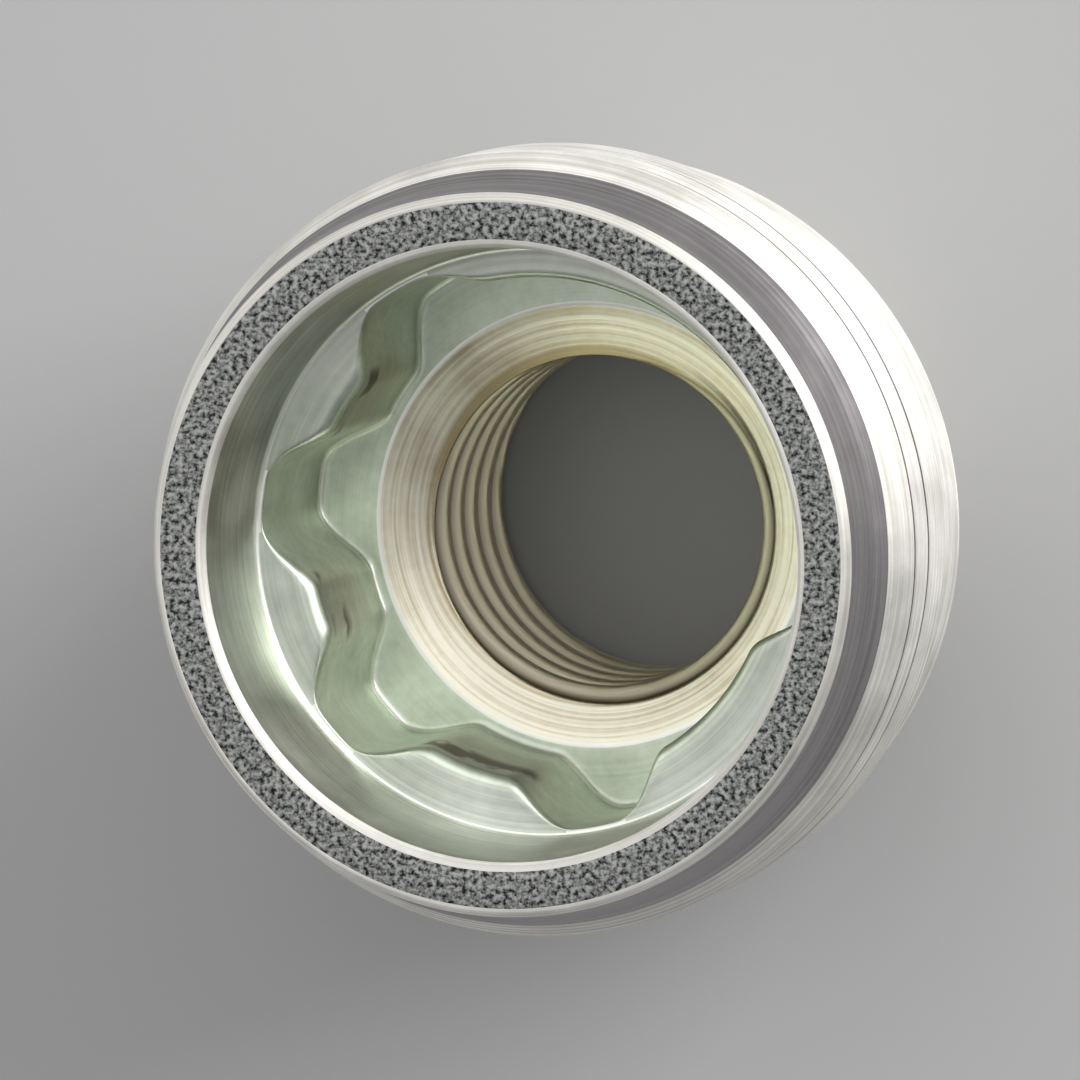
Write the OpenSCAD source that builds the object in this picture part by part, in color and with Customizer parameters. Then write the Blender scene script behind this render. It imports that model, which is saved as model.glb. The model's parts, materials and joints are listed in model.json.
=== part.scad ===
// Open-ended locking wheel nut, turned from one piece of steel and plated.
// It stands on its seat end, with the key socket facing up and the axis on Z.
// The rim opens into a round mouth, then a deeper socket with a wavy wall for
// the key, and a bore for the wheel stud runs on through to the seat end.

/* [Length] */
// Length of the nut from the seat end to the rim face
nut_h = 19; // [18:0.5:25]

/* [Cone seat] */
// Included angle of the cone that centres the wheel
seat_angle = 60; // [55:5:90]
// Radius of the seat end, where the cone starts
seat_end_r = 7.4; // [7:0.1:8.2]
// Radius of the shank, where the cone stops
shank_r = 11.6; // [11:0.1:12]

/* [Band and nose] */
// Radius of the widest band
band_r = 12.25; // [12.1:0.05:13.4]
// Depth of the band's upper edge below the rim face
band_depth = 3.6; // [3:0.1:4.2]
// Height of the band along the axis
band_h = 3.9; // [3.2:0.1:4.8]
// Radius at the foot of the neck, where the sloping shoulder starts
neck_r = 11.5; // [11.35:0.05:11.8]
// Height of the neck below the rim face
neck_h = 1.9; // [1.2:0.1:2.6]
// Outside radius of the rim face
rim_r = 11.2; // [10.9:0.05:11.35]

/* [Turned lines] */
// Depth of each fine line cut round the band
line_cut = 0.12; // [0.05:0.01:0.3]
// Width of each fine line
line_w = 0.25; // [0.15:0.05:0.5]
// Distance of the first line below the band's upper edge
line_start = 0.3; // [0.2:0.05:1]
// Distance from one line to the next
line_pitch = 1.6; // [0.8:0.05:1.8]

/* [Mouth] */
// Radius of the mouth at the rim face
mouth_r = 9.55; // [9.4:0.05:10]
// Radius of the mouth at its ledge
ledge_r = 9.2; // [9.1:0.05:9.35]
// Depth of the ledge below the rim face
ledge_depth = 4.3; // [3.2:0.1:5]
// Width of the broken edges on both sides of the rim face
edge_cut = 0.25; // [0.1:0.05:0.35]

/* [Key socket] */
// Radius of the hollows in the wavy wall
hollow_r = 9; // [8.6:0.05:9.05]
// Radius of the raised lands in the wavy wall
land_r = 7.45; // [7.3:0.05:8.2]
// Radius of the one broad land, which stands less far in than the others
broad_r = 8.25; // [8:0.05:8.5]
// Depth of the socket's floor below the rim face
floor_depth = 10.2; // [9:0.1:11]
// Angle over which the side of a land falls away, in degrees
flank = 16; // [12:1:18]

/* [Bore] */
// Radius of the bore, at the crests of the stud thread
bore_r = 5.27; // [5.19:0.01:5.34]
// Radius of the countersink in the socket's floor
countersink_r = 7; // [6.4:0.1:7.2]
// Included angle of the countersink
countersink_angle = 130; // [100:5:150]
// Radius of the lead-in at the seat end
lead_in_r = 6.2; // [5.8:0.1:6.6]

/* [Hidden] */

// Angle of the middle of each land round the axis, and its width in degrees.
// The first land is the broad one.
LAND_AT = [54, 146.5, 197, 251, 317.5];
LAND_W = [108, 27, 25, 35, 48];
WAVE_STEP = 2;
LINE_COUNT = 2;
SPARE = 1;

seat_h = (shank_r - seat_end_r) / tan(seat_angle / 2);
band_top = nut_h - band_depth;
band_foot = band_top - band_h;
ledge_z = nut_h - ledge_depth;
floor_z = nut_h - floor_depth;
countersink_h = (countersink_r - bore_r) / tan(countersink_angle / 2);
lead_in_h = lead_in_r - bore_r;

$fn = 96;

// How much of a land stands at an angle, from 0 in a hollow to 1 on a land
function rise(a, i) =
    let (off = abs((a - LAND_AT[i] + 540) % 360 - 180))
    let (fall = (off - (LAND_W[i] - flank) / 2) / flank)
    0.5 + 0.5 * cos(180 * max(0, min(1, fall)));

// How far a land stands in from the hollows at an angle
function land_in(a, i) = rise(a, i) * (hollow_r - (i == 0 ? broad_r : land_r));

// Radius of the wavy wall at an angle
function wave_r(a) = hollow_r - max([for (i = [0:len(LAND_AT) - 1]) land_in(a, i)]);

// Full outside shape: cone seat, shank, band, sloping shoulder and neck
module outside() {
    rotate_extrude()
        polygon([
            [0, 0],
            [seat_end_r, 0],
            [shank_r, seat_h],
            [shank_r, band_foot - (band_r - shank_r)],
            [band_r, band_foot],
            [band_r, band_top],
            [neck_r, nut_h - neck_h],
            [rim_r, nut_h - edge_cut],
            [rim_r - edge_cut, nut_h],
            [0, nut_h]
        ]);
}

// One fine line cut round the band
module turned_line(z) {
    translate([0, 0, z - line_w])
        difference() {
            cylinder(h = line_w, r = band_r + SPARE);
            translate([0, 0, -SPARE])
                cylinder(h = line_w + 2 * SPARE, r = band_r - line_cut);
        }
}

// Round mouth that guides the key, with a broken edge at the rim face
module mouth() {
    rotate_extrude()
        polygon([
            [0, ledge_z],
            [ledge_r, ledge_z],
            [mouth_r, nut_h - edge_cut],
            [mouth_r + edge_cut, nut_h],
            [mouth_r + edge_cut, nut_h + SPARE],
            [0, nut_h + SPARE]
        ]);
}

// Deep socket with the wavy wall that the key fits
module key_socket() {
    translate([0, 0, floor_z])
        linear_extrude(height = floor_depth - ledge_depth + SPARE)
            polygon([for (a = [0:WAVE_STEP:360 - WAVE_STEP]) wave_r(a) * [cos(a), sin(a)]]);
}

// Bore for the stud, with the countersink above it and the lead-in below it
module stud_bore() {
    rotate_extrude()
        polygon([
            [0, -SPARE],
            [lead_in_r + SPARE, -SPARE],
            [bore_r, lead_in_h],
            [bore_r, floor_z - countersink_h],
            [countersink_r, floor_z],
            [countersink_r, floor_z + SPARE],
            [0, floor_z + SPARE]
        ]);
}

// The whole nut
module nut_body() {
    color("silver")
        difference() {
            outside();
            for (i = [0:LINE_COUNT - 1])
                turned_line(band_top - line_start - i * line_pitch);
            mouth();
            key_socket();
            stud_bore();
        }
}

nut_body();
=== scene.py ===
import json
import math

import bmesh
import bpy
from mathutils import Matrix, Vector


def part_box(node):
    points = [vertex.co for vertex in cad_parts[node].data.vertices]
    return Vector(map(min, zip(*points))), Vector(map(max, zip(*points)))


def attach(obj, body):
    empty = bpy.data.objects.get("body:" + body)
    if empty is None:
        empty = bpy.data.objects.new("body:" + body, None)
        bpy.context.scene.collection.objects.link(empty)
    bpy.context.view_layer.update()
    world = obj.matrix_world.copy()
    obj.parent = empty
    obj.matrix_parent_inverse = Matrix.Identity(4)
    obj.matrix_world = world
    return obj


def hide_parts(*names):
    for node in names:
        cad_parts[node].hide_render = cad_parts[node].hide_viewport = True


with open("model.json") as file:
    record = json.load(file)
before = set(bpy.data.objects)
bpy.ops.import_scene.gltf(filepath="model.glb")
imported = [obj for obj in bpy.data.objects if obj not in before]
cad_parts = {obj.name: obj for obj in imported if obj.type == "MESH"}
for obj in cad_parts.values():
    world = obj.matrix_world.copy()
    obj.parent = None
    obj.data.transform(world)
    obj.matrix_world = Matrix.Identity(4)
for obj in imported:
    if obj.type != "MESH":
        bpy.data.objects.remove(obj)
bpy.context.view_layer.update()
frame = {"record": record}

# The nut's blank: one steel bar end, forged hollow and turned all over.
# Its section is drawn once, from the bore round the outside and back down
# through the mouth and the socket, then swung round the axis.
MM = 0.001
mounts = {m["name"]: m for m in frame["record"]["mounts"]}
nut_low, nut_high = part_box("nut_body")
nut_h = nut_high.z - nut_low.z
band_r = (nut_high.x - nut_low.x) / 2
bore_r = mounts["stud_thread"]["dims"]["r_mm"] * MM

seat_end_r = 7.4 * MM
seat_half_angle = math.radians(30)
shank_r = 11.6 * MM
band_depth = 3.6 * MM
band_h = 3.9 * MM
neck_r = 11.5 * MM
neck_h = 1.9 * MM
rim_r = 11.2 * MM
line_count = 2
line_cut = 0.12 * MM
line_w = 0.25 * MM
line_start = 0.3 * MM
line_pitch = 1.6 * MM
mouth_r = 9.55 * MM
ledge_r = 9.2 * MM
ledge_depth = 4.3 * MM
hollow_r = 9.0 * MM
roll_h = 0.5 * MM
floor_depth = 10.2 * MM
countersink_r = 7.0 * MM
countersink_half_angle = math.radians(65)
thread_r = 6.0 * MM
lead_in_r = 6.2 * MM

band_top = nut_h - band_depth
band_foot = band_top - band_h
neck_foot = nut_h - neck_h
ledge_z = nut_h - ledge_depth
roll_foot = ledge_z - roll_h
floor_z = nut_h - floor_depth
bore_top = floor_z - (countersink_r - bore_r) / math.tan(countersink_half_angle)
runout_top = floor_z - (countersink_r - thread_r) / math.tan(countersink_half_angle)
bore_foot = lead_in_r - bore_r
seat_top = (shank_r - seat_end_r) / math.tan(seat_half_angle)

# How far the rounding of a corner reaches along its two sides
SHARP = 0.0
CRISP = 0.04 * MM
BROKEN = 0.1 * MM
SOFT = 0.15 * MM
EDGE = 0.25 * MM
FILLET = 0.28 * MM

# Each corner of the section is its radius, its height and its rounding
section = [
    (bore_r, bore_foot, SHARP),
    (lead_in_r, 0, BROKEN),
    (seat_end_r, 0, SOFT),
    (shank_r, seat_top, SOFT),
    (shank_r, band_foot - (band_r - shank_r), SOFT),
    (band_r, band_foot, SOFT),
]
for i in reversed(range(line_count)):
    line_top = band_top - line_start - i * line_pitch
    section += [
        (band_r, line_top - line_w, CRISP),
        (band_r - line_cut, line_top - line_w, CRISP),
        (band_r - line_cut, line_top, CRISP),
        (band_r, line_top, CRISP),
    ]
section += [
    (band_r, band_top, BROKEN),
    (neck_r, neck_foot, SOFT),
    (rim_r, nut_h, EDGE),
    (mouth_r, nut_h, EDGE),
    (ledge_r, ledge_z, SOFT),
    (hollow_r, ledge_z, CRISP),
    (hollow_r, roll_foot, SHARP),
    (hollow_r, floor_z, FILLET),
    (countersink_r, floor_z, BROKEN),
    (thread_r, runout_top, SHARP),
    (bore_r, bore_top, SHARP),
]

nut = bmesh.new()
corners = [nut.verts.new((r, 0, z)) for r, z, rounding in section]
for a, b in zip(corners, corners[1:] + corners[:1]):
    nut.edges.new((a, b))

for reach in (CRISP, BROKEN, SOFT, EDGE, FILLET):
    bmesh.ops.bevel(
        nut,
        geom=[v for v, corner in zip(corners, section) if v.is_valid and corner[2] == reach],
        offset=reach,
        offset_type="OFFSET",
        affect="VERTICES",
        segments=2 if reach == CRISP else 5,
        profile=0.5,
        material=-1,
    )

# The thread and the rolled tops of the lands need closer rings than the rest
RING_STEP = 0.6 * MM
FINE_STEP = 0.07 * MM
for edge in list(nut.edges):
    start, end = edge.verts[0].co, edge.verts[1].co
    r, z = (start.x + end.x) / 2, (start.z + end.z) / 2
    threaded = r < thread_r and z > 0
    rolled_over = abs(r - hollow_r) < CRISP and roll_foot < z < ledge_z
    cuts = int(edge.calc_length() / (FINE_STEP if threaded or rolled_over else RING_STEP))
    if cuts:
        bmesh.ops.subdivide_edges(nut, edges=[edge], cuts=cuts)

TURN_STEPS = 288
bmesh.ops.spin(
    nut,
    geom=nut.verts[:] + nut.edges[:],
    cent=(0, 0, 0),
    axis=(0, 0, 1),
    angle=2 * math.pi,
    steps=TURN_STEPS,
    use_merge=True,
)

# The key pattern: five lands left standing round the socket's wall, each a
# little different in place and width, so that only the nut's own key fits.
# The broad one stands less far in, and all are rolled over at the top.
land_r = 7.45 * MM
broad_r = 8.25 * MM
flank = math.radians(16)

# Each land is the angle of its middle, its width in degrees and its radius
lands = [
    (54, 108, broad_r),
    (146.5, 27, land_r),
    (197, 25, land_r),
    (251, 35, land_r),
    (317.5, 48, land_r),
]


def share_of(value):
    """The value, kept between none and all."""
    return max(0.0, min(1.0, value))


def land_in(angle):
    """How far the wall stands in from the hollows at an angle."""
    inward = 0.0
    for middle, width, radius in lands:
        off = abs((angle - math.radians(middle) + math.pi) % (2 * math.pi) - math.pi)
        fall = share_of((off - (math.radians(width) - flank) / 2) / flank)
        rise = 0.5 + 0.5 * math.cos(math.pi * fall)
        inward = max(inward, (hollow_r - radius) * rise)
    return inward


def move_out(v, r, outward):
    """Moves a vertex that is at radius r away from the axis."""
    v.co.x *= (r + outward) / r
    v.co.y *= (r + outward) / r


foot_r = hollow_r - FILLET
ring_r = countersink_r + BROKEN
for v in nut.verts:
    r = math.hypot(v.co.x, v.co.y)
    in_socket = floor_z - CRISP < v.co.z < ledge_z + CRISP / 4
    if in_socket and ring_r < r < hollow_r + 1.5 * CRISP:
        follow = min(1.0, (r - ring_r) / (foot_r - ring_r))
        up = share_of((v.co.z - ledge_z + roll_h) / roll_h)
        inward = land_in(math.atan2(v.co.y, v.co.x)) * follow
        inward *= 1 - roll_h / (hollow_r - land_r) * (1 - math.sqrt(1 - up * up))
        move_out(v, r, -inward)

# The stud thread: a metric fine thread, tapped right-handed through the bore
# and fading out in the countersink above and the lead-in below.
pitch = 1.5 * MM
root_half = 0.12 * MM
flank_run = 0.52 * MM

for v in nut.verts:
    r = math.hypot(v.co.x, v.co.y)
    if r < thread_r and v.co.z < floor_z - CRISP:
        turn = math.atan2(v.co.y, v.co.x) / (2 * math.pi)
        from_root = abs((v.co.z / pitch - turn) % 1 - 0.5) * pitch
        open_part = share_of((root_half + flank_run - from_root) / flank_run)
        cut = bore_r + (thread_r - bore_r) * open_part * open_part * (3 - 2 * open_part)
        over = cut - r
        if v.co.z > bore_top:
            over *= (runout_top - v.co.z) / (runout_top - bore_top)
        if over > 0:
            move_out(v, r, over)

bmesh.ops.recalc_face_normals(nut, faces=nut.faces[:])


def face_number(face):
    """A number that a face has in every run, from its first and its last vertex."""
    numbers = [v.index for v in face.verts]
    return min(numbers) * len(nut.verts) + max(numbers)


# The spin leaves the faces in no fixed order, so they are put in one
nut.verts.index_update()
nut.faces.sort(key=face_number)

# Plating: the same bath leaves each surface its own way. The turned outside is bright, the sheared rim is
# a dark and pale speckle, the socket keeps a grey-green zinc tint and the bore comes out a pale gold. The
# neck and the turned lines are painted darker: a painted reflection of dark surroundings on the neck and
# painted shade in the grooves.
# Thin painted highlight lines run along some inner edges, and painted shade darkens the thread's roots.
CLOUD_SCALE = 420.0
LINE_SCALE = 8000.0
LINE_DRIFT = 0.015
CREST_DEPTH = 0.55 * MM


def plating(name, light, dark, roughness, weights, spread, grain, pits, turning):
    """A plated steel finish. Its weights share the colour out to clouds, lines, grain, and a radius share
    near the bore that paints shade into the thread's roots.
    """
    material = bpy.data.materials.new(name)
    material.use_nodes = True
    nodes, links = material.node_tree.nodes, material.node_tree.links
    shader = nodes["Principled BSDF"]
    shader.inputs["Metallic"].default_value = 1.0

    # Radius and height, with a slow drift, so that the lines run round the axis
    place = nodes.new("ShaderNodeTexCoord").outputs["Object"]
    axes = nodes.new("ShaderNodeSeparateXYZ")
    axes.name = "axes"
    links.new(place, axes.inputs[0])
    across = nodes.new("ShaderNodeCombineXYZ")
    links.new(axes.outputs["X"], across.inputs["X"])
    links.new(axes.outputs["Y"], across.inputs["Y"])
    radius = nodes.new("ShaderNodeVectorMath")
    radius.operation = "LENGTH"
    radius.name = "radius"
    links.new(across.outputs[0], radius.inputs[0])
    drift = nodes.new("ShaderNodeMath")
    drift.operation = "MULTIPLY"
    drift.inputs[1].default_value = LINE_DRIFT
    links.new(axes.outputs["Y"], drift.inputs[0])
    rings = nodes.new("ShaderNodeCombineXYZ")
    links.new(radius.outputs["Value"], rings.inputs["X"])
    links.new(drift.outputs[0], rings.inputs["Y"])
    links.new(axes.outputs["Z"], rings.inputs["Z"])

    clouds = nodes.new("ShaderNodeTexNoise")
    clouds.name = "clouds"
    clouds.inputs["Scale"].default_value = CLOUD_SCALE
    clouds.inputs["Detail"].default_value = 4.0
    links.new(place, clouds.inputs["Vector"])
    lines = nodes.new("ShaderNodeTexNoise")
    lines.inputs["Scale"].default_value = LINE_SCALE
    lines.inputs["Detail"].default_value = 3.0
    links.new(rings.outputs[0], lines.inputs["Vector"])
    speckle = nodes.new("ShaderNodeTexNoise")
    speckle.inputs["Scale"].default_value = grain
    speckle.inputs["Detail"].default_value = 3.0
    speckle.inputs["Roughness"].default_value = 0.6
    links.new(place, speckle.inputs["Vector"])
    # Painted shade: one at the thread's crests, falling to none at its roots
    crest_root_shade = nodes.new("ShaderNodeMapRange")
    crest_root_shade.inputs["From Min"].default_value = bore_r + CREST_DEPTH
    crest_root_shade.inputs["From Max"].default_value = bore_r
    links.new(radius.outputs["Value"], crest_root_shade.inputs["Value"])

    # The weighted textures add up to one value, which picks the colour
    total = None
    for texture, weight in zip((clouds, lines, speckle, crest_root_shade), weights):
        part = nodes.new("ShaderNodeMath")
        part.operation = "MULTIPLY_ADD"
        part.inputs[1].default_value = weight
        part.inputs[2].default_value = 0.0
        links.new(texture.outputs[0], part.inputs[0])
        if total:
            links.new(total, part.inputs[2])
        total = part.outputs[0]
    tint = nodes.new("ShaderNodeValToRGB")
    tint.name = "tint"
    tint.color_ramp.elements[0].position = 0.5 - spread
    tint.color_ramp.elements[0].color = (*dark, 1)
    tint.color_ramp.elements[1].position = 0.5 + spread
    tint.color_ramp.elements[1].color = (*light, 1)
    links.new(total, tint.inputs["Fac"])
    links.new(tint.outputs["Color"], shader.inputs["Base Color"])

    gloss = nodes.new("ShaderNodeMapRange")
    gloss.inputs["From Min"].default_value = 0.3
    gloss.inputs["From Max"].default_value = 0.7
    gloss.inputs["To Min"].default_value = roughness * 0.85
    gloss.inputs["To Max"].default_value = roughness * 1.15
    links.new(clouds.outputs["Fac"], gloss.inputs["Value"])
    links.new(gloss.outputs["Result"], shader.inputs["Roughness"])

    turned = nodes.new("ShaderNodeBump")
    turned.inputs["Strength"].default_value = 0.7
    turned.inputs["Distance"].default_value = turning
    links.new(lines.outputs["Fac"], turned.inputs["Height"])
    pitted = nodes.new("ShaderNodeBump")
    pitted.inputs["Strength"].default_value = 0.8
    pitted.inputs["Distance"].default_value = pits
    links.new(speckle.outputs["Fac"], pitted.inputs["Height"])
    links.new(turned.outputs["Normal"], pitted.inputs["Normal"])
    links.new(pitted.outputs["Normal"], shader.inputs["Normal"])
    return material


finishes = [
    plating(
        "bright_plating", light=(0.96, 0.95, 0.91), dark=(0.64, 0.62, 0.57), roughness=0.68,
        weights=(0.2, 0.7, 0.1, 0.0), spread=0.16, grain=3600.0, pits=0.001 * MM, turning=0.012 * MM,
    ),
    # Painted shade: the neck's darker colour stands in for the dark surroundings it reflects, and darkens
    # the turned lines' grooves
    plating(
        "neck_painted_shade", light=(0.46, 0.44, 0.44), dark=(0.22, 0.20, 0.21), roughness=0.36,
        weights=(0.2, 0.7, 0.1, 0.0), spread=0.2, grain=3600.0, pits=0.001 * MM, turning=0.006 * MM,
    ),
    plating(
        "speckled_rim", light=(0.46, 0.47, 0.45), dark=(0.022, 0.023, 0.024), roughness=0.5,
        weights=(0.0, 0.0, 1.0, 0.0), spread=0.12, grain=6000.0, pits=0.02 * MM, turning=0.002 * MM,
    ),
    plating(
        "grey_plating", light=(0.72, 0.75, 0.68), dark=(0.40, 0.43, 0.36), roughness=0.42,
        weights=(0.5, 0.4, 0.1, 0.0), spread=0.16, grain=2400.0, pits=0.004 * MM, turning=0.01 * MM,
    ),
    plating(
        "grey_green_plating", light=(0.80, 0.87, 0.75), dark=(0.48, 0.53, 0.43), roughness=0.45,
        weights=(0.6, 0.2, 0.2, 0.0), spread=0.16, grain=2400.0, pits=0.004 * MM, turning=0.006 * MM,
    ),
    # A small negative share of the radius near the bore makes the countersink darker towards the bore
    plating(
        "pale_gold_plating", light=(0.95, 0.91, 0.76), dark=(0.50, 0.40, 0.24), roughness=0.4,
        weights=(0.3, 0.75, 0.1, -0.24), spread=0.14, grain=2600.0, pits=0.004 * MM, turning=0.012 * MM,
    ),
    # Painted highlight: pale rings along the ledge, the countersink's edge and the foot of the socket
    # wall, standing in for the glint of their roundings
    plating(
        "painted_highlight_lines", light=(0.97, 0.97, 0.90), dark=(0.80, 0.81, 0.74), roughness=0.4,
        weights=(0.6, 0.2, 0.2, 0.0), spread=0.2, grain=2400.0, pits=0.002 * MM, turning=0.002 * MM,
    ),
    # Painted shade: the thread's roots run nearly black-brown, its crests pale
    plating(
        "tapped_thread", light=(0.98, 0.89, 0.69), dark=(0.06, 0.045, 0.025), roughness=0.42,
        weights=(0.15, 0.1, 0.0, 0.75), spread=0.27, grain=2600.0, pits=0.002 * MM, turning=0.01 * MM,
    ),
]
BRIGHT, SHADED_NECK, RIM, MOUTH, SOCKET, BORE, HIGHLIGHT_LINE, THREAD = range(len(finishes))

# The fine turned grooves stretch each highlight across them
for finish in (finishes[BRIGHT], finishes[SHADED_NECK]):
    round_axis = finish.node_tree.nodes.new("ShaderNodeTangent")
    round_axis.direction_type = "RADIAL"
    round_axis.axis = "Z"
    shader = finish.node_tree.nodes["Principled BSDF"]
    shader.inputs["Anisotropic"].default_value = 0.55
    shader.inputs["Anisotropic Rotation"].default_value = 0.25
    finish.node_tree.links.new(round_axis.outputs["Tangent"], shader.inputs["Tangent"])

# Brown marks on the walls at the lands' tips, just under their rolled tops, in cloudy patches.
# Each limit is where a mark starts and where it is full.
mark_color = (0.13, 0.10, 0.06, 1)
mark_strength = 0.85
nodes, links = finishes[SOCKET].node_tree.nodes, finishes[SOCKET].node_tree.links
height = nodes["axes"].outputs["Z"]
marks = None
for place, start, full in (
    (nodes["radius"].outputs["Value"], land_r + 0.35 * MM, land_r + 0.1 * MM),
    (height, ledge_z - 2.8 * MM, ledge_z - 2.0 * MM),
    (height, ledge_z - 0.6 * MM, ledge_z - 1.0 * MM),
    (nodes["clouds"].outputs[0], 0.42, 0.5),
):
    share = nodes.new("ShaderNodeMapRange")
    share.interpolation_type = "SMOOTHSTEP"
    share.inputs["From Min"].default_value = start
    share.inputs["From Max"].default_value = full
    links.new(place, share.inputs["Value"])
    both = nodes.new("ShaderNodeMath")
    both.operation = "MULTIPLY"
    both.inputs[1].default_value = mark_strength
    links.new(share.outputs["Result"], both.inputs[0])
    if marks:
        links.new(marks, both.inputs[1])
    marks = both.outputs[0]
tip_marks = nodes.new("ShaderNodeMix")
tip_marks.data_type = "RGBA"
tip_marks.inputs["B"].default_value = mark_color
links.new(marks, tip_marks.inputs["Factor"])
links.new(nodes["tint"].outputs["Color"], tip_marks.inputs["A"])
links.new(tip_marks.outputs["Result"], nodes["Principled BSDF"].inputs["Base Color"])

# The painted shade of the neck runs on a little way down the shoulder
neck_shade_foot = neck_foot - 0.6 * MM
# How far the painted highlight lines reach about the countersink's edge and up from the socket's floor
highlight_reach = 0.6 * BROKEN
highlight_foot_h = 0.6 * FILLET


def finish_at(r, z):
    """The finish of the surface at a radius and a height."""
    if r < thread_r + CRISP and z < bore_top:
        return THREAD
    # Painted highlight lines along the ledge, the countersink's edge and the socket's foot
    on_ledge_line = ledge_r - SOFT < r < ledge_r + CRISP and abs(z - ledge_z) < SOFT
    on_countersink_line = abs(r - countersink_r) < highlight_reach and abs(z - floor_z) < BROKEN
    on_foot_line = r < mouth_r and floor_z + CRISP < z < floor_z + highlight_foot_h
    if on_ledge_line or on_countersink_line or on_foot_line:
        return HIGHLIGHT_LINE
    if mouth_r + EDGE < r < rim_r - EDGE and z > nut_h - CRISP:
        return RIM
    if r < countersink_r + BROKEN / 2 and z < floor_z + CRISP:
        return BORE
    if r < mouth_r + SOFT and floor_z - CRISP < z < nut_h - EDGE:
        return MOUTH if z > ledge_z - CRISP else SOCKET
    # Painted shade: the neck, the top of the shoulder and the bottoms of the turned lines get the darker
    # finish
    on_neck = r > rim_r - CRISP and neck_shade_foot < z < nut_h - EDGE
    on_band = band_foot + SOFT < z < band_top - BROKEN
    in_line = on_band and band_r - line_cut - CRISP / 2 < r < band_r - CRISP
    if on_neck or in_line:
        return SHADED_NECK
    return BRIGHT


for face in nut.faces:
    middle = face.calc_center_median()
    face.smooth = True
    face.material_index = finish_at(math.hypot(middle.x, middle.y), middle.z)

nut_mesh = bpy.data.meshes.new("wheel_nut")
nut.to_mesh(nut_mesh)
nut.free()
for finish in finishes:
    nut_mesh.materials.append(finish)
wheel_nut = bpy.data.objects.new("wheel_nut", nut_mesh)
bpy.context.scene.collection.objects.link(wheel_nut)
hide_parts("nut_body")
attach(wheel_nut, "root")

# The studio: a pale matt table top, large enough to run past the picture's edges.
table_half = 4.0
table = bmesh.new()
bmesh.ops.create_grid(table, x_segments=1, y_segments=1, size=table_half)
table_mesh = bpy.data.meshes.new("table_top")
table.to_mesh(table_mesh)
table.free()
table_top = bpy.data.objects.new("table_top", table_mesh)
bpy.context.scene.collection.objects.link(table_top)
card = bpy.data.materials.new("pale_card")
card.use_nodes = True
card.node_tree.nodes["Principled BSDF"].inputs["Base Color"].default_value = (0.42, 0.42, 0.42, 1)
card.node_tree.nodes["Principled BSDF"].inputs["Roughness"].default_value = 0.9
table_mesh.materials.append(card)

# The room round the table: brighter toward a large window high on one side.
toward_window = (-0.32, 0.68, 0.66)
world = bpy.data.worlds.new("studio")
bpy.context.scene.world = world
world.use_nodes = True
sky, wires = world.node_tree.nodes, world.node_tree.links
direction = sky.new("ShaderNodeTexCoord")
window_side = sky.new("ShaderNodeVectorMath")
window_side.operation = "DOT_PRODUCT"
window_side.inputs[1].default_value = toward_window
wires.new(direction.outputs["Generated"], window_side.inputs[0])
share = sky.new("ShaderNodeMapRange")
share.inputs["From Min"].default_value = -1.0
share.inputs["From Max"].default_value = 1.0
wires.new(window_side.outputs["Value"], share.inputs["Value"])
walls = sky.new("ShaderNodeValToRGB")
walls.color_ramp.elements[0].position = 0.5
walls.color_ramp.elements[0].color = (0.12, 0.12, 0.13, 1)
walls.color_ramp.elements[1].position = 1.0
walls.color_ramp.elements[1].color = (1.30, 1.30, 1.30, 1)
shoulder = walls.color_ramp.elements.new(0.78)
shoulder.color = (0.72, 0.72, 0.72, 1)
wires.new(share.outputs["Result"], walls.inputs["Fac"])
wires.new(walls.outputs["Color"], sky["Background"].inputs["Color"])

# The key lamp: one large square soft box on the right that faces the nut.
lamp_place = Vector((0.43, 0.30, 0.22))
lamp = bpy.data.lights.new("key_lamp", "AREA")
lamp.size = 0.34
lamp.energy = 4.0
lamp_object = bpy.data.objects.new("key_lamp", lamp)
lamp_object.location = lamp_place
lamp_object.rotation_mode = "QUATERNION"
lamp_object.rotation_quaternion = (lamp_place - Vector((0, 0, nut_h))).to_track_quat("Z", "Y")
bpy.context.scene.collection.objects.link(lamp_object)

# The camera: above the nut and a little to the right, as in the photograph.
tilt = math.radians(17.5)
swing = math.radians(18.8)
camera_distance = 0.48
view_width = 0.0335
toward = Vector((math.sin(tilt) * math.cos(swing), math.sin(tilt) * math.sin(swing), math.cos(tilt)))
aim = Vector((0.0004, 0.0002, nut_h - 3.2 * MM))
camera = bpy.data.cameras.new("camera")
camera.sensor_width = 36
camera.lens = camera.sensor_width * camera_distance / view_width
camera.clip_start = 0.01
camera.clip_end = 100
camera_object = bpy.data.objects.new("camera", camera)
camera_object.location = aim + toward * camera_distance
camera_object.rotation_mode = "QUATERNION"
camera_object.rotation_quaternion = Vector((0, 0, 1)).rotation_difference(toward)
bpy.context.scene.collection.objects.link(camera_object)
bpy.context.scene.camera = camera_object
bpy.context.scene.view_settings.view_transform = "Standard"
